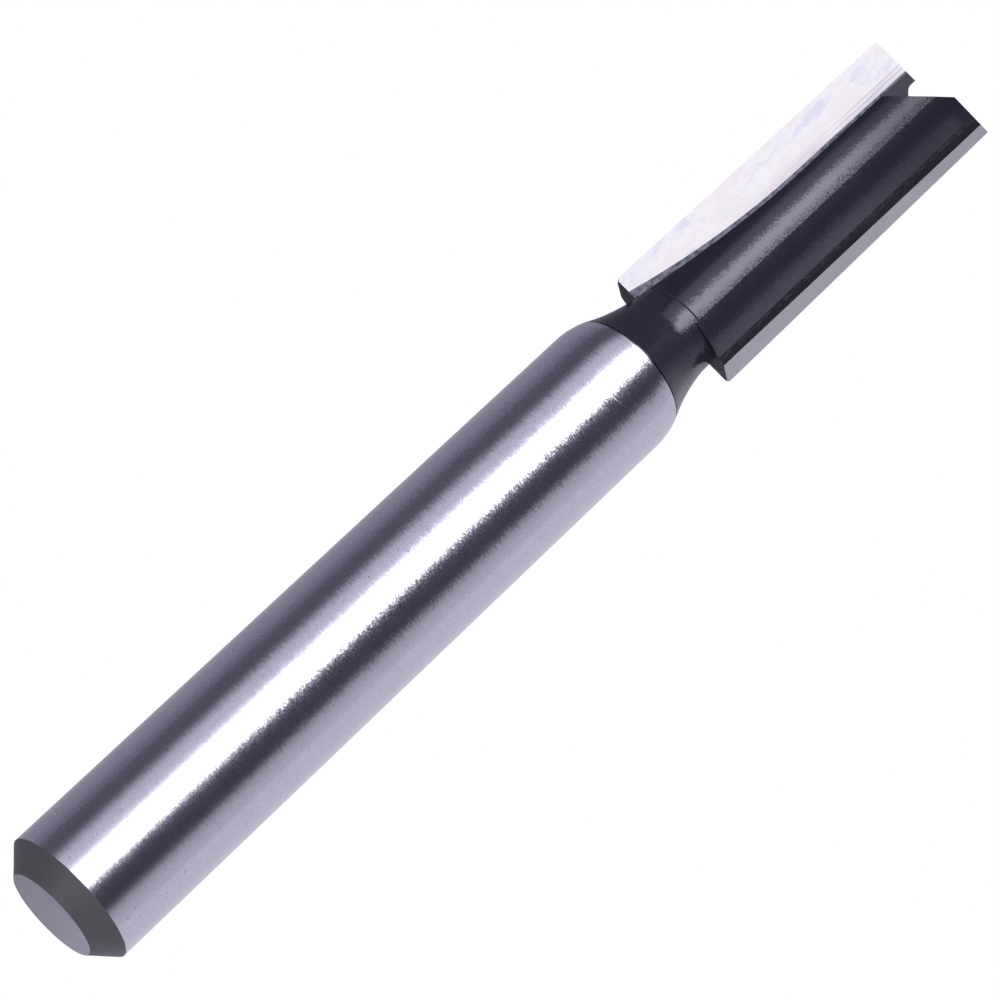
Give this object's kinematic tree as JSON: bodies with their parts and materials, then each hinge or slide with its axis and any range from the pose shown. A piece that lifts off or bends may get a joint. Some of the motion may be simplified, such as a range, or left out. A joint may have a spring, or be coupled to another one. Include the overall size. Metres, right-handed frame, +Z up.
{
  "type": "router bit",
  "caption": "Straight router bit: plain bright shank with a bevelled end, dark slim cutting head and brazed carbide blades along it.",
  "frame": {"origin": "on the bit's axis, half way along the parallel part of the shank, where a collet grips it", "axes": "+X along the bit's axis from the shank end to the cutting end, +Z up, rake faces level"},
  "size_m": [0.053, 0.0064, 0.006],
  "materials": {
    "steel": "shank ground bright, neck and head dark and smooth",
    "carbide": "fine ground",
    "braze": "dull, tarnished"
  },
  "bodies": {
    "root": {"steel_body": "steel", "carbide_tip_a": "carbide", "carbide_tip_b": "carbide", "braze_a": "braze", "braze_b": "braze"}
  },
  "joints": []
}
